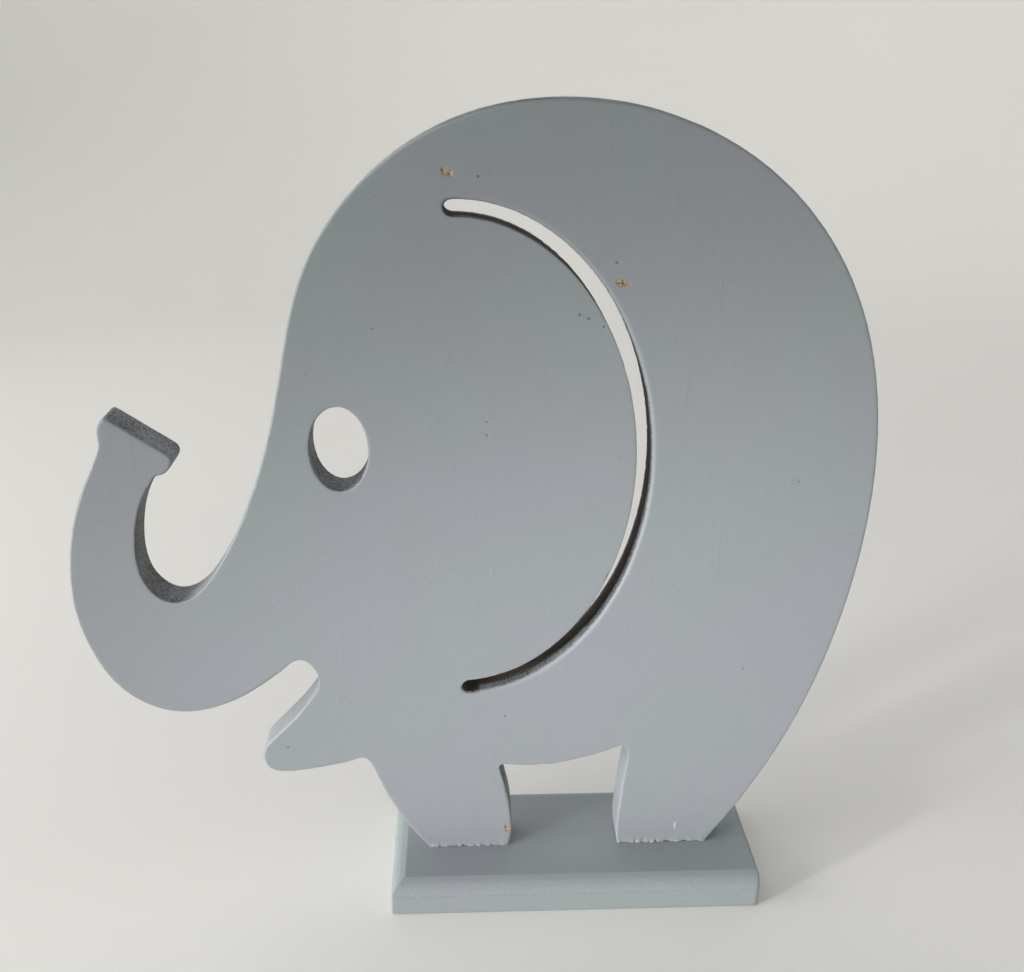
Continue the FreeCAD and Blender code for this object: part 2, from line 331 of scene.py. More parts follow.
def filled(outer, holes, extra, step):
    """Triangles over a flat region: (places, triangles), the loops' own points coming first."""
    loops = [outer, *holes]
    edge_points = np.vstack(loops)
    grid = triangle_grid(outer.min(axis=0), outer.max(axis=0), step)
    if len(extra):
        extra = np.array(extra)
        grid = grid[clear_of(grid, extra, 0.7 * MM)]
        grid = np.vstack([grid, extra])
    keep = inside_loop(grid, outer)
    for hole in holes:
        keep &= ~inside_loop(grid, hole)
    grid = grid[keep]
    # The grid keeps well away from the loops, but the extra points may come closer.
    keep = clear_of(grid, edge_points, 0.45 * step)
    if len(extra):
        is_extra = ~clear_of(grid, extra, 0.01 * MM)
        keep |= is_extra & clear_of(grid, edge_points, 0.25 * MM)
    grid = grid[keep]
    places = np.vstack([edge_points, grid])
    edges = []
    start = 0
    for loop in loops:
        count = len(loop)
        edges += [(start + i, start + (i + 1) % count) for i in range(count)]
        start += count
    found = delaunay_2d_cdt([Vector(p) for p in places], edges, [], 0, 1e-9)
    vertices, triangles, originals = found[0], found[2], found[3]
    place_of = [own[0] if own else -1 for own in originals]
    if -1 in place_of or len(vertices) != len(places):
        raise RuntimeError("the face's outline crosses itself")
    triangles = np.array([[place_of[i] for i in triangle] for triangle in triangles])
    middles = places[triangles].mean(axis=1)
    keep = inside_loop(middles, outer)
    for hole in holes:
        keep &= ~inside_loop(middles, hole)
    return places, triangles[keep]


def linked(name, data):
    """A new object in the scene."""
    made = bpy.data.objects.new(name, data)
    bpy.context.scene.collection.objects.link(made)
    return made


class MeshParts:
    """Collects vertices, faces and one number per vertex for a mesh."""

    def __init__(self):
        self.places = []
        self.faces = []
        self.wear = []

    def add(self, places, wear):
        """Adds vertices and returns their numbers."""
        start = len(self.places)
        self.places += [tuple(p) for p in places]
        self.wear += list(wear)
        return np.arange(start, len(self.places))

    def strip(self, first, second, flip=False, without=()):
        """Joins two closed rings of the same length with quads, but for some columns."""
        count = len(first)
        for i in range(count):
            if i in without:
                continue
            j = (i + 1) % count
            quad = (first[i], first[j], second[j], second[i])
            self.faces.append(tuple(int(v) for v in (reversed(quad) if flip else quad)))

    def triangles(self, numbers, triangles, flip=False):
        """Adds triangles whose corners are looked up in numbers."""
        for triangle in triangles:
            corners = [int(numbers[i]) for i in triangle]
            self.faces.append(tuple(reversed(corners)) if flip else tuple(corners))

    def fill(self, rings, axis, level, step, wear=0.0, relief=None, extra=(), flip=False):
        """Fills a region that is flat along an axis, between an outer ring and its holes."""
        axes = [other for other in range(3) if other != axis]
        flat = [np.array([self.places[i] for i in ring])[:, axes] for ring in rings]
        places, triangles = filled(flat[0], flat[1:], extra, step)
        known = np.concatenate(rings)
        fresh = np.insert(places[len(known):], axis, level, axis=1)
        if relief:
            fresh[:, axis] += relief(fresh)
        added = self.add(fresh, np.full(len(fresh), wear))
        self.triangles(np.concatenate([known, added]), triangles, flip)

    def build(self, name, attribute):
        """The finished object, shaded smooth, with its normals facing out."""
        mesh = bpy.data.meshes.new(name)
        mesh.from_pydata(self.places, [], self.faces)
        mesh.validate()
        layer = mesh.attributes.new(attribute, "FLOAT", "POINT")
        layer.data.foreach_set("value", np.array(self.wear, np.float32))
        shape = bmesh.new()
        shape.from_mesh(mesh)
        bmesh.ops.recalc_face_normals(shape, faces=shape.faces)
        shape.to_mesh(mesh)
        shape.free()
        mesh.polygons.foreach_set("use_smooth", np.ones(len(mesh.polygons), bool))
        return linked(name, mesh)


def screw_holes():
    """The middle of each screw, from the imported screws."""
    found = []
    for name in ("front_leg_screw", "hind_leg_screw"):
        low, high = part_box(name)
        found.append(((low.x + high.x) / 2.0, (low.y + high.y) / 2.0))
    return found


def hole_ring(parts, centre, radius, z, wear):
    """Adds a level ring of vertices round an upright hole."""
    angles = np.linspace(0.0, 2.0 * math.pi, HOLE_SIDES, endpoint=False)
    places = np.column_stack([
        centre[0] + radius * np.cos(angles), centre[1] + radius * np.sin(angles),
        np.full(HOLE_SIDES, z),
    ])
    return parts.add(places, np.full(HOLE_SIDES, wear))


# ---- the elephant panel

def board_profile():
    """Stations across the wall, from the front face to the back: (side, how far round, place).

    side is -1 on the front rounding, 1 on the back one and 0 on the wall between.
    """
    stations = [(-1, turn / ROUNDING_STRIPS, 0.0) for turn in range(ROUNDING_STRIPS + 1)]
    stations += [(0, 1.0, strip / WALL_STRIPS) for strip in range(1, WALL_STRIPS)]
    stations += [(1, turn / ROUNDING_STRIPS, 1.0) for turn in range(ROUNDING_STRIPS, -1, -1)]
    return stations


class Loop:
    """One closed outline of the panel, with the amount of rounding at each of its columns.

    bare says how little paint each column's wall took: 0 is thin paint, 1 is none, and below 0
    it comes near to a face's solid paint. It also carries painted light: walls facing the window
    are drawn lighter, and hollows facing away from it darker, as painted shade. In a narrow loop
    the middle of the wall took none, and its dark bare board is also painted shade.
    soles are the first and last columns of each foot.
    """

    def __init__(self, points, normals, front_ease, back_ease, bare, narrow=False, soles=()):
        self.points = points
        self.normals = normals
        self.front_ease = front_ease
        self.back_ease = back_ease
        self.bare = bare
        self.narrow = narrow
        self.soles = soles

    def wear(self, on_wall, share):
        """The mesh's number at one station: 0 on a face, 1 on a painted wall, 2 on a bare one; on
        the walls it also carries painted light and painted shade.
        """
        if not self.narrow:
            return on_wall * (1.0 + self.bare)
        # Deep in the narrow slot the wall is drawn as dark bare board: partly where the paint
        # stopped, partly painted shade
        from_front = (share - FRONT_PAINTED) / FRONT_FADE
        from_back = (1.0 - share - BACK_PAINTED) / BACK_FADE
        hidden = min(1.0, max(0.0, min(from_front, from_back)))
        return on_wall * (1.0 + np.maximum(self.bare, hidden))

    def inset(self, distance):
        """The outline moved into the board, by a distance for each column."""
        moved = self.points - self.normals * distance[:, None]
        for first, last in self.soles:
            lift = distance[first:last + 1]
            for corner, inner in ((first, first - 1), (last, (last + 1) % len(moved))):
                wall = self.points[inner] - self.points[corner]
                wall /= math.hypot(*wall)
                outward = np.array([wall[1], -wall[0]])
                outward *= math.copysign(1.0, outward @ self.normals[inner])
                sideways = distance[inner] / abs(outward[0])
                up = distance[corner]
                x = self.points[corner][0] + wall[0] / wall[1] * up
                x -= math.copysign(sideways, outward[0])
                moved[corner] = (x, self.points[corner][1] + up)
            between = np.linspace(0.0, 1.0, last - first + 1)
            length = moved[last][0] - moved[first][0]
            moved[first:last + 1, 0] = moved[first][0] + between * length
            moved[first:last + 1, 1] = SOLE_Z + lift
        return moved


def openness(points):
    """How well sandpaper reached each column: 1 on outward bends, less inside the hollows."""
    forward = np.roll(points, -1, axis=0) - points
    heading = np.unwrap(np.arctan2(forward[:, 1], forward[:, 0]))
    reach = 8
    bend = (np.roll(heading, -reach) - np.roll(heading, reach)) / (2.0 * reach * COLUMN_STEP)
    bend = np.clip(bend, -0.1 / MM, 0.1 / MM) * MM
    kernel = np.hanning(15)
    kernel /= kernel.sum()
    padded = np.concatenate([bend[-7:], bend, bend[:7]])
    bend = np.convolve(padded, kernel, "valid")
    return 0.5 + 0.5 * np.clip((bend + 0.016) / 0.014, 0.0, 1.0)


def sole_columns(start, end):
    """Evenly spaced columns along one sole, without its two corners."""
    count = int(round(abs(end[0] - start[0]) / SOLE_STEP))
    return np.column_stack([
        np.linspace(start[0], end[0], count + 1)[1:-1],
        np.full(count - 1, SOLE_Z),
    ])


def outer_loop(open_chains):
    """The outside of the elephant: the leg gap, the hind sole, round the body, the front sole."""
    chains = sorted((chain for chain, _ in open_chains), key=len)
    gap, body = (columns_of(chain, False, COLUMN_STEP) for chain in chains)
    if gap[0][0] > gap[-1][0]:
        gap = gap[::-1]
    if body[0][0] < body[-1][0]:
        body = body[::-1]
    # The gap runs from the front heel to the hind toe, and the body from the hind heel to the
    # front toe, so that the board is on the left all the way round.
    hind_sole = sole_columns(gap[-1], body[0])
    front_sole = sole_columns(body[-1], gap[0])
    points = np.vstack([gap, hind_sole, body, front_sole])
    down = np.array([[0.0, -1.0]])
    normals = np.vstack([
        wall_normals(gap, False), np.repeat(down, len(hind_sole), axis=0),
        wall_normals(body, False), np.repeat(down, len(front_sole), axis=0),
    ])
    # The loop starts in the middle of the gap, so that no sole wraps round its end.
    turn = len(gap) // 2
    points, normals = (np.roll(a, -turn, axis=0) for a in (points, normals))
    hind = (len(gap) - 1 - turn, len(gap) + len(hind_sole) - turn)
    front_start = len(gap) + len(hind_sole) + len(body) - 1 - turn
    front = (front_start, front_start + len(front_sole) + 1)
    places = np.column_stack([points[:, 0], np.zeros(len(points)), points[:, 1]])
    ease = EDGE_EASE * openness(points) * (1.0 + 0.20 * value_noise(places, 9.0 * MM, 4))
    # Painted light: walls facing the window on the left are drawn lighter, near the face's paint,
    # and hollows facing away from it are drawn darker, as painted shade
    away_from_window = np.clip(1.5 * normals[:, 0], -1.0, 1.0)
    in_hollow = 2.0 * (1.0 - openness(points))
    share = np.where(away_from_window < 0.0, WINDOW_SIDE_LIGHTENING, HOLLOW_SHADE_DARKENING * in_hollow)
    bare = share * away_from_window
    for first, last in (hind, front):
        foot = places[first:last + 1]
        seam = 0.22 + 0.45 * np.clip(value_noise(foot, 1.7 * MM, 5), 0.0, 1.0)
        ease[first:last + 1] = seam * MM
        # Open spots in each foot's seam are drawn as dark bare board under a thinner bead: painted
        # shade in the gap
        bare[first:last + 1] = np.clip(value_noise(foot, 1.9 * MM, 14) * 6.0 - 1.2, 0.0, 1.0)
    return Loop(points, normals, ease, ease.copy(), bare, soles=(hind, front))


def hole_outline(chain):
    """A hole's columns, running clockwise so that the board is on their left."""
    points = columns_of(chain, True, SLOT_COLUMN_STEP)
    return points[::-1] if signed_area(points) > 0.0 else points


def eye_loop(chain):
    """The eye hole's outline, with the same rounding and paint all round."""
    points = hole_outline(chain)
    ease = np.full(len(points), EYE_EASE)
    bare = np.full(len(points), EYE_BARE)
    return Loop(points, wall_normals(points, True), ease, ease.copy(), bare)


def slot_loop(chain):
    """The ear slot's outline: its outer edge is softly rounded and its inner edge is crisp."""
    points = hole_outline(chain)
    normals = wall_normals(points, True)
    # A place level with the slot's middle, on the side that the arc bends round
    middle_z = (points[:, 1].min() + points[:, 1].max()) / 2.0
    centre = np.array([points[:, 0].min(), middle_z])
    towards = (centre - points) / np.hypot(*(centre - points).T)[:, None]
    outer_side = np.clip(0.5 + 0.9 * np.sum(normals * towards, axis=1), 0.0, 1.0)
    front = SLOT_INNER_EASE + (SLOT_OUTER_EASE - SLOT_INNER_EASE) * outer_side
    back = np.full(len(points), SLOT_BACK_EASE)
    # Near the slot's narrow tips the wall is drawn as dark bare board, partly painted shade
    upper_tip = points[np.argmax(points[:, 1] - 0.5 * points[:, 0])]
    lower_tip = points[np.argmin(points[:, 1] + 0.5 * points[:, 0])]
    away = np.min([np.hypot(*(points - tip).T) for tip in (upper_tip, lower_tip)], axis=0)
    bare = np.clip(2.0 - away / BARE_SLOT_END, 0.0, 1.0)
    return Loop(points, normals, front, back, bare, narrow=True)


def wall_relief(places, share, roughness, ragged):
    """How far the sawn wall stands out at one station: fibres, ripples and a torn back rim."""
    fibres = WALL_FIBRES * value_noise(places, 1.1 * MM, 6)
    ripples = WALL_RIPPLES * value_noise(places * np.array([1.0, 0.25, 1.0]), 2.4 * MM, 7)
    torn = -TORN_DEPTH * np.clip(value_noise(places, 1.5 * MM, 8) - 0.05, 0.0, 1.0)
    return roughness * (fibres + ripples) + ragged * torn * share ** 3


def rim_nicks(places):
    """Small dents along a rim, as a share of their full depth."""
    return np.clip((value_noise(places, 4.0 * MM, 9) - 0.42) / 0.25, 0.0, 1.0)


def knocked(places):
    """The one deeper knock on the trunk's edge, as a share of its full depth."""
    away = np.hypot(places[:, 0] - KNOCK[0], places[:, 2] - KNOCK[1])
    return np.clip(1.0 - away / KNOCK_RADIUS, 0.0, 1.0)


def foot_bead(places):
    """The ragged bead of paint where a foot meets the plinth, as a share of its full height."""
    return np.clip(0.35 + 1.1 * value_noise(places, 1.1 * MM, 15), 0.0, 1.0)


def station_places(loop, side, turn, share):
    """One ring's places before any relief; a turn below 0 is the support ring on a face."""
    ease = loop.back_ease if side > 0 else loop.front_ease
    if side == 0:
        low = -HALF_BOARD + loop.front_ease
        high = HALF_BOARD - loop.back_ease
        distance = np.zeros(len(ease))
        y = low + (high - low) * share
    elif turn < 0.0:
        distance = ease + SUPPORT_WIDTH
        y = np.full(len(ease), side * HALF_BOARD)
    else:
        angle = turn * math.pi / 2.0
        distance = ease * (1.0 - math.sin(angle))
        y = side * (HALF_BOARD - ease * (1.0 - math.cos(angle)))
    outline = loop.inset(distance)
    return np.column_stack([outline[:, 0], y, outline[:, 1]])


def add_bead(loop, places, wear, side, turn):
    """Draws the bead of paint out of one ring of a rounding, along each foot."""
    for first, last in loop.soles:
        foot = slice(first + 1, last)
        bead = foot_bead(places[foot]) * (1.0 - loop.bare[foot])
        places[foot, 1] += side * bead * BEAD_HEIGHT * math.cos(turn * math.pi / 2.0)
        # The bead is drawn in pale paint as a painted highlight on its ridge, and where it is thin
        # the seam is drawn dark as painted shade
        wear[foot] = np.where(bead > THINNEST_BEAD, -bead, 2.0 * loop.bare[foot])


def add_wall(parts, loop, roughness, ragged):
    """Adds the rings across one outline, and returns its first and last ones."""
    rings = []
    for side, turn, share in [(-1, -1.0, 0.0), *board_profile(), (1, -1.0, 1.0)]:
        places = station_places(loop, side, turn, share)
        on_wall = 1.0 if side == 0 else max(0.0, turn)
        wear = loop.wear(on_wall, share)
        push = on_wall * wall_relief(places, share, roughness, ragged)
        if side != 0 and turn >= 0.0:
            push -= NICK_DEPTH * math.sin(math.pi * min(turn + 0.1, 1.0)) * rim_nicks(places)
        if side < 0 and turn >= 0.0:
            push -= KNOCK_DEPTH * knocked(places)
        for first, last in loop.soles:
            push[first:last + 1] = 0.0
        if side != 0 and 0.0 <= turn < 1.0:
            add_bead(loop, places, wear, side, turn)
        places[:, [0, 2]] += push[:, None] * loop.normals
        if side < 0:
            places[:, 1] += face_relief(places) * (1.0 - on_wall)
        rings.append(parts.add(places, wear))
    wall_first = ROUNDING_STRIPS + 1
    wall_last = wall_first + WALL_STRIPS
    drilled = {i for first, last in loop.soles for i in range(first, last)}
    for number, (lower, upper) in enumerate(zip(rings, rings[1:])):
        on_wall = wall_first <= number < wall_last
        parts.strip(lower, upper, without=drilled if on_wall else ())
    for first, last in loop.soles:
        middle = (loop.points[first][0] + loop.points[last][0]) / 2.0
        centre = min(screw_holes(), key=lambda hole: abs(hole[0] - middle))
        drilled_sole(parts, rings[wall_first:wall_last + 1], first, last, centre)
    return rings[0], rings[-1]


def drilled_sole(parts, rings, first, last, centre):
    """Closes one sole between the two roundings, round the hole drilled up for its screw."""
    front, back = rings[0], rings[-1]
    rim = [*front[first:last + 1], *(ring[last] for ring in rings[1:-1])]
    rim += [*back[first:last + 1][::-1], *(ring[first] for ring in rings[-2:0:-1])]
    hole = [hole_ring(parts, centre, PILOT_RADIUS, z, 1.0) for z in (SOLE_Z, PILOT_TOP)]
    parts.strip(hole[0], hole[1], flip=True)
    parts.faces.append(tuple(int(v) for v in hole[1]))
    parts.fill([np.array(rim), hole[0]], 2, SOLE_Z, FACE_STEP, wear=1.0)


def elephant_panel():
    """The whole silhouette with its holes, as one closed mesh."""
    chains = wall_chains()
    closed = [chain for chain, is_closed in chains if is_closed]
    eye_chain, slot_chain = sorted(closed, key=lambda chain: np.ptp(chain[:, 1]))
    loops = [
        (outer_loop([c for c in chains if not c[1]]), 1.0, 0.0),
        (eye_loop(eye_chain), 1.4, 0.3),
        (slot_loop(slot_chain), 1.4, 1.0),
    ]
    parts = MeshParts()
    rims = [add_wall(parts, *settings) for settings in loops]
    fronts, backs = zip(*rims)
    extra = refined_points()
    parts.fill(fronts, 1, -HALF_BOARD, FACE_STEP, relief=face_relief, extra=extra)
    parts.fill(backs, 1, HALF_BOARD, FACE_STEP, relief=back_relief, flip=True)
    return parts.build("painted_elephant", "cut")


# ---- the plinth

def rounded_rectangle(low, high, radii, step):
    """A closed ring round a rectangle; radii are for the low-x and the high-x corners."""
    points = []
    corners = [
        (low[0], low[1], radii[0], 180.0), (high[0], low[1], radii[1], 270.0),
        (high[0], high[1], radii[1], 0.0), (low[0], high[1], radii[0], 90.0),
    ]
    size = PLINTH_HIGH - PLINTH_LOW
    counts = [int(size.x / step), int(size.y / step)] * 2
    arcs = []
    for x, y, radius, start in corners:
        centre_x = x + radius if x == low[0] else x - radius
        centre_y = y + radius if y == low[1] else y - radius
        angles = np.radians(start + np.linspace(0.0, 90.0, 6))
        arcs.append(np.column_stack([
            centre_x + radius * np.cos(angles), centre_y + radius * np.sin(angles),
        ]))
    for arc, following, count in zip(arcs, arcs[1:] + arcs[:1], counts):
        share = np.linspace(0.0, 1.0, count + 1)[1:-1, None]
        points.append(arc)
        points.append(arc[-1] + share * (following[0] - arc[-1]))
    return np.vstack(points)


def plinth_rings():
    """Heights and insets up the plinth's side: (z, routed inset, sawn end's inset)."""
    top = PLINTH_HIGH.z
    rows = [(0.0, 0.35 * MM, 0.35 * MM), (0.12 * MM, 0.1 * MM, 0.1 * MM), (0.4 * MM, 0.0, 0.0)]
    wall_top = top - ROUNDOVER
    rows += [(z, 0.0, 0.0) for z in np.linspace(0.4 * MM, wall_top, 11)[1:]]
    for strip in range(1, ROUTED_STRIPS + 1):
        angle = strip / ROUTED_STRIPS * ROUTED_TURN
        z = wall_top + ROUNDOVER * math.sin(angle) / math.sin(ROUTED_TURN)
        routed = ROUNDOVER * (1.0 - math.cos(angle)) / (1.0 - math.cos(ROUTED_TURN))
        above = max(0.0, z - (top - END_EASE))
        sawn = END_EASE - math.sqrt(max(0.0, END_EASE ** 2 - above ** 2))
        rows.append((z, routed, sawn))
    rows.append((top, ROUNDOVER + CREASE_SUPPORT, END_EASE + CREASE_SUPPORT))
    return rows


def plinth_ring(parts, z, routed, sawn):
    """Adds one level ring round the plinth, torn where the rounding starts."""
    low = (PLINTH_LOW.x + routed, PLINTH_LOW.y + routed)
    high = (PLINTH_HIGH.x - sawn, PLINTH_HIGH.y - routed)
    radii = (max(0.35 * MM, 0.8 * MM - 0.1 * routed), max(0.5 * MM, 2.0 * MM - 0.25 * routed))
    flat = rounded_rectangle(low, high, radii, COLUMN_STEP)
    places = np.column_stack([flat, np.full(len(flat), z)])
    above_line = z - (PLINTH_HIGH.z - ROUNDOVER)
    torn_band = math.exp(-((above_line / TORN_WIDTH) ** 2))
    push = 0.03 * MM * value_noise(places, 2.2 * MM, 11)
    push += TORN_HEIGHT * torn_band * value_noise(places, 1.1 * MM, 12)
    push *= min(1.0, z / MM)
    places[:, :2] += push[:, None] * wall_normals(flat, True)
    places = np.clip(places, list(PLINTH_LOW), list(PLINTH_HIGH))
    return parts.add(places, np.full(len(flat), torn_band))


def countersunk_bore(parts, centre):
    """Adds one screw hole's wall, and returns its rings from the underside up."""
    seat_top = HEAD_RIM_Z + HEAD_RADIUS - PILOT_RADIUS
    levels = [
        (0.0, HEAD_RADIUS), (HEAD_RIM_Z, HEAD_RADIUS),
        (seat_top, PILOT_RADIUS), (PLINTH_HIGH.z, PILOT_RADIUS),
    ]
    rings = [hole_ring(parts, centre, radius, z, 0.0) for z, radius in levels]
    for first, second in zip(rings, rings[1:]):
        parts.strip(first, second, flip=True)
    return rings


def plinth():
    """The moulded plinth: routed on three sides, sawn at the rump end, countersunk beneath."""
    parts = MeshParts()
    rings = [plinth_ring(parts, *row) for row in plinth_rings()]
    for first, second in zip(rings, rings[1:]):
        parts.strip(first, second)
    bores = [countersunk_bore(parts, centre) for centre in screw_holes()]
    tops = [rings[-1], *(bore[-1] for bore in bores)]
    bottoms = [rings[0], *(bore[0] for bore in bores)]
    parts.fill(tops, 2, PLINTH_HIGH.z, PLINTH_STEP, relief=top_relief)
    parts.fill(bottoms, 2, 0.0, PLINTH_STEP, flip=True)
    return parts.build("moulded_plinth", "torn")


# ---- materials

class Shader:
    """A material's node tree, with a short call for each kind of node used here."""

    def __init__(self, name):
        self.material = bpy.data.materials.new(name)
        self.material.use_nodes = True
        self.tree = self.material.node_tree
        self.tree.nodes.clear()
        self.place = self.node("ShaderNodeTexCoord").outputs["Object"]

    def node(self, kind, inputs=None, **settings):
        """One node; inputs are sockets to link or plain values."""
        made = self.tree.nodes.new(kind)
        for key, value in settings.items():
            setattr(made, key, value)
        for key, value in (inputs or {}).items():
            if isinstance(value, bpy.types.NodeSocket):
                self.tree.links.new(value, made.inputs[key])
            else:
                made.inputs[key].default_value = value
        return made

    def math(self, operation, first, second=0.0, third=0.0, clamp=False):
        """A Math node's result."""
        inputs = {0: first, 1: second, 2: third}
        return self.node("ShaderNodeMath", inputs, operation=operation, use_clamp=clamp).outputs[0]

    def vector(self, operation, first, second=(0.0, 0.0, 0.0)):
        """A Vector Math node."""
        return self.node("ShaderNodeVectorMath", {0: first, 1: second}, operation=operation)

    def along(self, axis):
        """The surface's place along one axis."""
        return self.node("ShaderNodeSeparateXYZ", {"Vector": self.place}).outputs[axis]

    def noise(self, spacing, detail=3.0, roughness=0.55, place=None, distortion=0.0):
        """Noise from 0 to 1, whose features are about spacing apart."""
        inputs = {
            "Vector": place or self.place, "Scale": 1.0 / spacing, "Detail": detail,
            "Roughness": roughness, "Distortion": distortion,
        }
        return self.node("ShaderNodeTexNoise", inputs).outputs["Fac"]

    def stretched(self, scale, turn=(0.0, 0.0, 0.0), place=None):
        """The surface's place, scaled along each axis and then turned."""
        inputs = {"Vector": place or self.place, "Scale": scale, "Rotation": turn}
        return self.node("ShaderNodeMapping", inputs).outputs["Vector"]

    def step(self, value, low, high):
        """0 below low, 1 above high and smooth between."""
        inputs = {"Value": value, "From Min": low, "From Max": high, "To Min": 0.0, "To Max": 1.0}
        made = self.node("ShaderNodeMapRange", inputs, interpolation_type="SMOOTHSTEP")
        return made.outputs["Result"]

    def mix(self, share, first, second, blend="MIX"):
        """One colour mixed into another."""
        inputs = {0: share, 6: first, 7: second}
        return self.node("ShaderNodeMix", inputs, data_type="RGBA", blend_type=blend).outputs[2]

    def tint(self, colour, mask, share, second):
        """A share of a second colour mixed in where the mask is 1."""
        return self.mix(self.math("MULTIPLY", mask, share), colour, second)

    def attribute(self, name):
        """A number that the mesh carries at each vertex."""
        return self.node("ShaderNodeAttribute", attribute_name=name).outputs["Fac"]

    def bump(self, height, distance, strength=1.0, normal=None):
        """A bump from a height between 0 and 1."""
        inputs = {"Height": height, "Distance": distance, "Strength": strength}
        if normal is not None:
            inputs["Normal"] = normal
        return self.node("ShaderNodeBump", inputs).outputs["Normal"]

    def finish(self, colour, roughness, normal, **constants):
        """The Principled shader and the output."""
        inputs = {"Base Color": colour, "Roughness": roughness, "Normal": normal}
        surface = self.node("ShaderNodeBsdfPrincipled", inputs)
        for name, value in constants.items():
            surface.inputs[name.replace("_", " ")].default_value = value
        self.node("ShaderNodeOutputMaterial", {"Surface": surface.outputs[0]})
        return self.material


# Colours, as linear red, green, blue and alpha
PAINT = (0.298, 0.314, 0.346, 1.0)
PAINT_GREEN = (0.284, 0.326, 0.334, 1.0)
PAINT_DARK = (0.115, 0.124, 0.128, 1.0)
PAINT_DEEP = (0.028, 0.029, 0.029, 1.0)
PAINT_SOAKED = (0.170, 0.184, 0.190, 1.0)
PAINT_PALE = (0.420, 0.440, 0.465, 1.0)
BOARD = (0.500, 0.370, 0.225, 1.0)
BOARD_DARK = (0.130, 0.085, 0.050, 1.0)
BOARD_FIBRE = (0.190, 0.150, 0.115, 1.0)
BOARD_SHADED = (0.040, 0.030, 0.024, 1.0)
ZINC = (0.60, 0.60, 0.57, 1.0)
ZINC_TARNISHED = (0.36, 0.35, 0.32, 1.0)
STAGE_DARKER = (0.84, 0.835, 0.815, 1.0)
STAGE_LIGHTER = (0.87, 0.865, 0.845, 1.0)
SKY = (0.98, 0.99, 1.0, 1.0)


def paint_colour(shader, cloudy=0.45):
    """Blue-grey paint, faintly mottled, with soft greenish clouds: the lower cloudy, the more."""
    clouds = shader.step(shader.noise(70.0 * MM, 2.0, 0.5), cloudy, cloudy + 0.23)
    colour = shader.mix(clouds, PAINT, PAINT_GREEN)
    mottle = shader.noise(1.6 * MM, 4.0, 0.6)
    mottle = shader.math("MULTIPLY_ADD", mottle, 0.08, 0.96)
    return shader.mix(1.0, colour, mottle, "MULTIPLY")


def specks(shader, spacing, amount, size):
    """Sparse small dots: 1 in a dot and 0 elsewhere."""
    inputs = {"Vector": shader.place, "Scale": 1.0 / spacing, "Randomness": 1.0}
    cells = shader.node("ShaderNodeTexVoronoi", inputs)
    dot = shader.step(cells.outputs["Distance"], size, size * 0.4)
    pick = shader.node("ShaderNodeSeparateColor", {"Color": cells.outputs["Color"]}).outputs[0]
    chosen = shader.math("LESS_THAN", pick, amount)
    return shader.math("MULTIPLY", dot, chosen)


def spot_mask(shader, spots):
    """1 inside any of the ragged oval spots on the front face."""
    ragged = shader.noise(0.8 * MM, 3.0, 0.6)
    nearest = None
    for x, z, half_width, half_height, turn in spots:
        moved = shader.vector("SUBTRACT", shader.place, (x, 0.0, z)).outputs[0]
        turned = shader.stretched((1.0, 1.0, 1.0), (0.0, math.radians(turn), 0.0), moved)
        size = (1.0 / half_width, 0.0, 1.0 / half_height)
        sized = shader.vector("MULTIPLY", turned, size).outputs[0]
        away = shader.vector("LENGTH", sized).outputs["Value"]
        nearest = away if nearest is None else shader.math("MINIMUM", nearest, away)
    uneven = shader.math("MULTIPLY_ADD", ragged, 1.1, nearest)
    inside = shader.step(uneven, 1.55, 1.40)
    front = shader.math("LESS_THAN", shader.along(1), -HALF_BOARD + 2.0 * MM)
    return shader.math("MULTIPLY", inside, front)


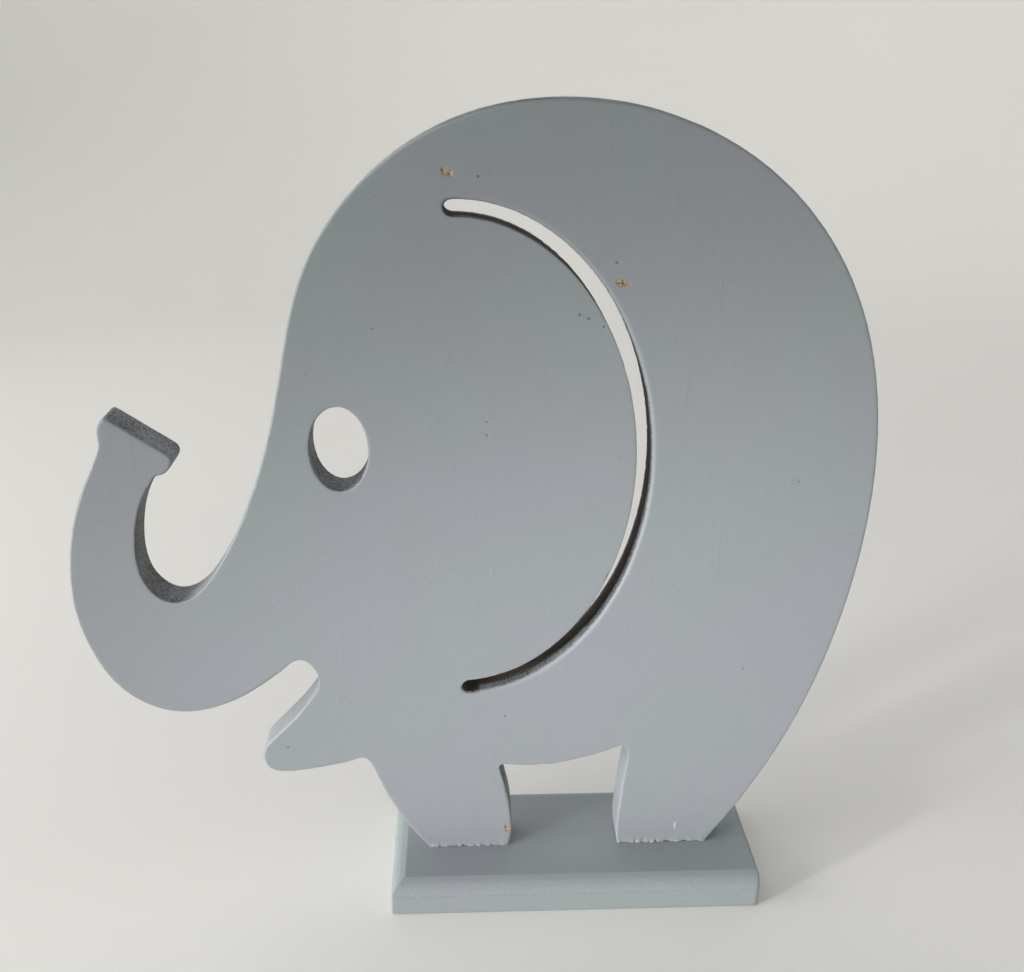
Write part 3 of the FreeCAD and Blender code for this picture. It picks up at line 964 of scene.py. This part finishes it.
def panel_paint():
    """The silhouette's paint: satin on the faces, dark and rough on the sawn walls, where the
    darkness is partly soaked paint and partly painted shade.
    """
    shader = Shader("panel_paint")
    wear = shader.attribute("cut")
    cut = shader.step(wear, 0.45, 0.95)
    fibres = shader.noise(0.6 * MM, 4.0, 0.7)
    ragged_wear = shader.math("MULTIPLY_ADD", fibres, 1.2, wear)
    bare_and_shaded_wall = shader.step(ragged_wear, 1.75, 2.25)
    bead = shader.step(wear, -0.05, -0.60)
    colour = paint_colour(shader)
    # Sawn walls soak the paint up unevenly, in layers along the board; the darker soaked colour also
    # stands in for shade on the walls
    layered = shader.stretched((1.0, 1.9, 1.0))
    blotches = shader.noise(1.8 * MM, 5.0, 0.70, layered)
    soaked_and_shaded = shader.mix(shader.step(blotches, 0.42, 0.60), PAINT_SOAKED, PAINT)
    cover = shader.noise(20.0 * MM, 1.0)
    pore_field = shader.noise(0.9 * MM, 4.0, 0.75, layered)
    pore_field = shader.math("MULTIPLY_ADD", cover, 0.45, pore_field)
    pore_field = shader.math("MULTIPLY_ADD", bare_and_shaded_wall, -0.16, pore_field)
    pores = shader.step(pore_field, 0.70, 0.62)
    soaked_and_shaded = shader.tint(soaked_and_shaded, pores, 0.9, PAINT_DEEP)
    # Bare and shaded walls are drawn in a dark shaded board colour: bare board where the paint
    # stopped, and painted shade deep in the slot, in the foot seams and in the hollows facing away
    # from the window
    bare_board_in_shade = shader.mix(shader.step(fibres, 0.52, 0.66), BOARD_SHADED, BOARD_FIBRE)
    soaked_and_shaded = shader.mix(bare_and_shaded_wall, soaked_and_shaded, bare_board_in_shade)
    colour = shader.mix(cut, colour, soaked_and_shaded)
    # The foot beads' pale paint is a painted highlight on their ridge
    colour = shader.tint(colour, bead, 0.8, PAINT_PALE)
    drip = spot_mask(shader, [DRIP])
    colour = shader.tint(colour, drip, 0.7, PAINT_PALE)
    # Fine dark pin-pricks, pale scuffs and dust
    dots = specks(shader, 9.0 * MM, 0.50, 0.045)
    colour = shader.tint(colour, dots, 0.6, PAINT_DARK)
    dust = specks(shader, 8.0 * MM, 0.35, 0.05)
    colour = shader.tint(colour, dust, 0.6, PAINT_PALE)
    pits = spot_mask(shader, [(x, z, 1.1 * r, 1.1 * r, 0.0) for x, z, r in PITS])
    colour = shader.tint(colour, pits, 0.7, PAINT_DARK)
    # Bare board in the chips
    chips = spot_mask(shader, CHIPS)
    grain = shader.noise(1.0 * MM, 3.0, 0.7)
    bare = shader.mix(shader.step(grain, 0.40, 0.52), BOARD_DARK, BOARD)
    colour = shader.mix(chips, colour, bare)
    roughness = shader.math("MULTIPLY_ADD", shader.noise(3.0 * MM), 0.12, 0.44)
    roughness = shader.math("MULTIPLY_ADD", cut, 0.30, roughness)
    roughness = shader.math("MULTIPLY_ADD", chips, 0.35, roughness, clamp=True)
    peel = shader.noise(0.9 * MM, 3.0, 0.55)
    normal = shader.bump(peel, 0.03 * MM, 0.6)
    upright = shader.stretched((1.0, 1.0, 0.08), (0.0, 0.35, 0.0))
    brush = shader.noise(1.0 * MM, 2.0, 0.5, upright)
    normal = shader.bump(brush, 0.015 * MM, 0.5, normal)
    dents = shader.step(shader.noise(7.0 * MM, 2.0, 0.5, distortion=1.2), 0.63, 0.72)
    normal = shader.bump(dents, 0.06 * MM, 0.7, normal)
    longer = shader.stretched((1.0, 1.0, 0.06), (0.0, -0.9, 0.0))
    scratches = shader.noise(3.0 * MM, 1.0, 0.5, longer)
    normal = shader.bump(shader.step(scratches, 0.70, 0.74), 0.04 * MM, 0.6, normal)
    rough_cut = shader.math("MULTIPLY", blotches, cut)
    normal = shader.bump(rough_cut, 0.35 * MM, 0.8, normal)
    return shader.finish(colour, roughness, normal, Specular_IOR_Level=0.42)


def plinth_paint():
    """The plinth's paint, with a furry torn line under the routed rounding."""
    shader = Shader("plinth_paint")
    torn = shader.attribute("torn")
    colour = paint_colour(shader, 0.30)
    height = shader.along(2)
    line_z = PLINTH_HIGH.z - ROUNDOVER
    routed = shader.step(height, line_z - 1.0 * MM, line_z + 0.5 * MM)
    flat_top = shader.step(height, PLINTH_HIGH.z - 1.2 * MM, PLINTH_HIGH.z - 0.2 * MM)
    furry_zone = shader.math("SUBTRACT", routed, flat_top, clamp=True)
    fibres = shader.noise(0.9 * MM, 4.0, 0.75)
    dashes = shader.step(fibres, 0.56, 0.66)
    line = shader.math("MULTIPLY", shader.step(torn, 0.35, 0.9), dashes)
    colour = shader.tint(colour, line, 0.75, PAINT_DARK)
    light = shader.math("MULTIPLY", shader.step(fibres, 0.46, 0.36), furry_zone)
    colour = shader.tint(colour, light, 0.40, PAINT_PALE)
    dust = specks(shader, 6.0 * MM, 0.45, 0.10)
    colour = shader.tint(colour, dust, 0.8, PAINT_PALE)
    dots = specks(shader, 6.0 * MM, 0.50, 0.07)
    colour = shader.tint(colour, dots, 0.5, PAINT_DARK)
    roughness = shader.math("MULTIPLY_ADD", shader.noise(3.0 * MM), 0.12, 0.46)
    roughness = shader.math("MULTIPLY_ADD", furry_zone, 0.18, roughness, clamp=True)
    normal = shader.bump(shader.noise(0.9 * MM, 3.0, 0.55), 0.03 * MM, 0.6)
    fur = shader.math("MULTIPLY", fibres, furry_zone)
    normal = shader.bump(fur, 0.4 * MM, 0.8, normal)
    return shader.finish(colour, roughness, normal, Specular_IOR_Level=0.42)


def screw_metal():
    """Bright zinc plate with fine turning lines."""
    shader = Shader("zinc_plate")
    tarnish = shader.noise(1.5 * MM, 3.0, 0.6)
    colour = shader.mix(tarnish, ZINC, ZINC_TARNISHED)
    lines = shader.noise(0.25 * MM, 2.0, 0.5, shader.stretched((0.1, 0.1, 1.0)))
    roughness = shader.math("MULTIPLY_ADD", tarnish, 0.2, 0.25)
    normal = shader.bump(lines, 0.02 * MM, 0.5)
    return shader.finish(colour, roughness, normal, Metallic=1.0)


def stage_white():
    """The pale floor and sweep."""
    shader = Shader("stage_white")
    cloud = shader.noise(0.4, 2.0, 0.5)
    colour = shader.mix(cloud, STAGE_DARKER, STAGE_LIGHTER)
    normal = shader.bump(shader.noise(0.02, 2.0, 0.5), 0.1 * MM, 0.3)
    return shader.finish(colour, 0.65, normal, Specular_IOR_Level=0.2)


# ---- stage, light and camera

WARM_WHITE = (1.0, 0.99, 0.97)
FLOOR_RADIUS = 1.1
SWEEP_RADIUS = 0.5
SWEEP_TOP = 1.6
STAGE_SIDES = 96
# The sky's strength at the far left, and the direction's x where it has faded to nothing
SKY_STRENGTH = 0.72
SKY_DARK_X = 0.6


def stage():
    """A round floor that sweeps up into a wall all the way round."""
    shape = bmesh.new()
    profile = [(r, 0.0) for r in (0.2, 0.4, 0.7, FLOOR_RADIUS)]
    profile += [
        (FLOOR_RADIUS + SWEEP_RADIUS * math.sin(a), SWEEP_RADIUS * (1.0 - math.cos(a)))
        for a in np.linspace(0.0, math.pi / 2.0, 13)[1:]
    ]
    profile.append((FLOOR_RADIUS + SWEEP_RADIUS, SWEEP_TOP))
    middle = shape.verts.new((0.0, 0.0, 0.0))
    rings = []
    angles = [2.0 * math.pi * i / STAGE_SIDES for i in range(STAGE_SIDES)]
    for radius, z in profile:
        rings.append([
            shape.verts.new((radius * math.cos(angle), radius * math.sin(angle), z))
            for angle in angles
        ])
    for i in range(STAGE_SIDES):
        j = (i + 1) % STAGE_SIDES
        shape.faces.new((middle, rings[0][i], rings[0][j]))
        for low, high in zip(rings, rings[1:]):
            shape.faces.new((low[i], high[i], high[j], low[j]))
    mesh = bpy.data.meshes.new("stage")
    shape.to_mesh(mesh)
    shape.free()
    mesh.polygons.foreach_set("use_smooth", np.ones(len(mesh.polygons), bool))
    mesh.materials.append(stage_white())
    floor = linked("stage", mesh)


def aimed_light(name, kind, place, target, power):
    """A light of one kind that is aimed at a target; returns its data."""
    data = bpy.data.lights.new(name, kind)
    data.energy = power
    data.color = WARM_WHITE
    light = linked(name, data)
    light.location = place
    aim = Vector(target) - Vector(place)
    light.rotation_euler = aim.to_track_quat("-Z", "Y").to_euler()
    return data


def area_light(name, place, target, size, power):
    """A square soft light."""
    data = aimed_light(name, "AREA", place, target, power)
    data.shape = "SQUARE"
    data.size = size


def spot_light(name, place, target, cone, radius, power):
    """A round light with a soft edge and a cone in degrees."""
    data = aimed_light(name, "SPOT", place, target, power)
    data.spot_size = math.radians(cone)
    data.spot_blend = 1.0
    data.shadow_soft_size = radius


def room_light():
    """A sky that is bright on the left and fades to nothing on the right."""
    world = bpy.data.worlds.new("room")
    world.use_nodes = True
    nodes, links = world.node_tree.nodes, world.node_tree.links
    direction = nodes.new("ShaderNodeTexCoord").outputs["Generated"]
    axes = nodes.new("ShaderNodeSeparateXYZ")
    fade = nodes.new("ShaderNodeMapRange")
    limits = {"From Min": -1.0, "From Max": SKY_DARK_X, "To Min": SKY_STRENGTH, "To Max": 0.0}
    for name, value in limits.items():
        fade.inputs[name].default_value = value
    links.new(direction, axes.inputs[0])
    links.new(axes.outputs[0], fade.inputs["Value"])
    background = nodes["Background"]
    background.inputs["Color"].default_value = SKY
    links.new(fade.outputs[0], background.inputs["Strength"])
    bpy.context.scene.world = world


def lights():
    """A soft window on the left, weak fills, and low lights in front that fade upwards."""
    middle = (0.0, 0.0, 0.12)
    area_light("window", (-1.2, -0.25, 0.3), middle, 0.8, 12.5)
    area_light("ceiling", (-0.3, -0.2, 1.4), (0.0, 0.0, 0.0), 1.0, 1.2)
    area_light("behind", (-0.8, 0.7, 0.8), middle, 0.8, 1.8)
    area_light("backdrop", (0.2, 0.9, 1.2), (0.1, 0.9, 0.2), 1.0, 3.0)
    spot_light("low_left", (-1.17, -0.75, 0.17), (0.17, 0.0, 0.05), 22.0, 0.06, 63.0)
    spot_light("low_front", (0.25, -1.0, 0.06), (0.06, 0.0, 0.05), 26.0, 0.12, 10.5)


# The camera, in millimetres, metres and degrees
LENS = 39.02
SENSOR = 36.0
CAMERA_PLACE = (-0.0462, -0.4072, 0.35325)
CAMERA_PITCH = 22.2975
CAMERA_YAW = 2.5582
CAMERA_ROLL = -0.4706


def camera():
    """The camera, in front of and above the elephant, looking down at it."""
    pitch, yaw, roll = (math.radians(a) for a in (CAMERA_PITCH, CAMERA_YAW, CAMERA_ROLL))
    forward = Vector((
        math.sin(yaw) * math.cos(pitch), math.cos(yaw) * math.cos(pitch), -math.sin(pitch),
    ))
    level_right = Vector((math.cos(yaw), -math.sin(yaw), 0.0))
    level_down = forward.cross(level_right)
    right = level_right * math.cos(roll) + level_down * math.sin(roll)
    down = level_down * math.cos(roll) - level_right * math.sin(roll)
    data = bpy.data.cameras.new("camera")
    data.lens = LENS
    data.sensor_width = SENSOR
    data.sensor_fit = "HORIZONTAL"
    data.clip_start = 0.01
    eye = linked("camera", data)
    axes = Matrix((right, -down, -forward)).transposed().to_4x4()
    eye.matrix_world = Matrix.Translation(CAMERA_PLACE) @ axes
    bpy.context.scene.camera = eye


def dress(piece, material, node):
    """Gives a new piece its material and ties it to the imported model."""
    piece.data.materials.clear()
    piece.data.materials.append(material)
    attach(piece, "root")
    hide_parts(node)


def main():
    """Builds everything."""
    bpy.context.scene.view_settings.view_transform = "Standard"
    camera()
    dress(elephant_panel(), panel_paint(), "elephant_panel")
    dress(plinth(), plinth_paint(), "plinth")
    metal = screw_metal()
    for name in ("front_leg_screw", "hind_leg_screw"):
        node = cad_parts[name]
        node.data.materials.clear()
        node.data.materials.append(metal)
    stage()
    room_light()
    lights()


main()
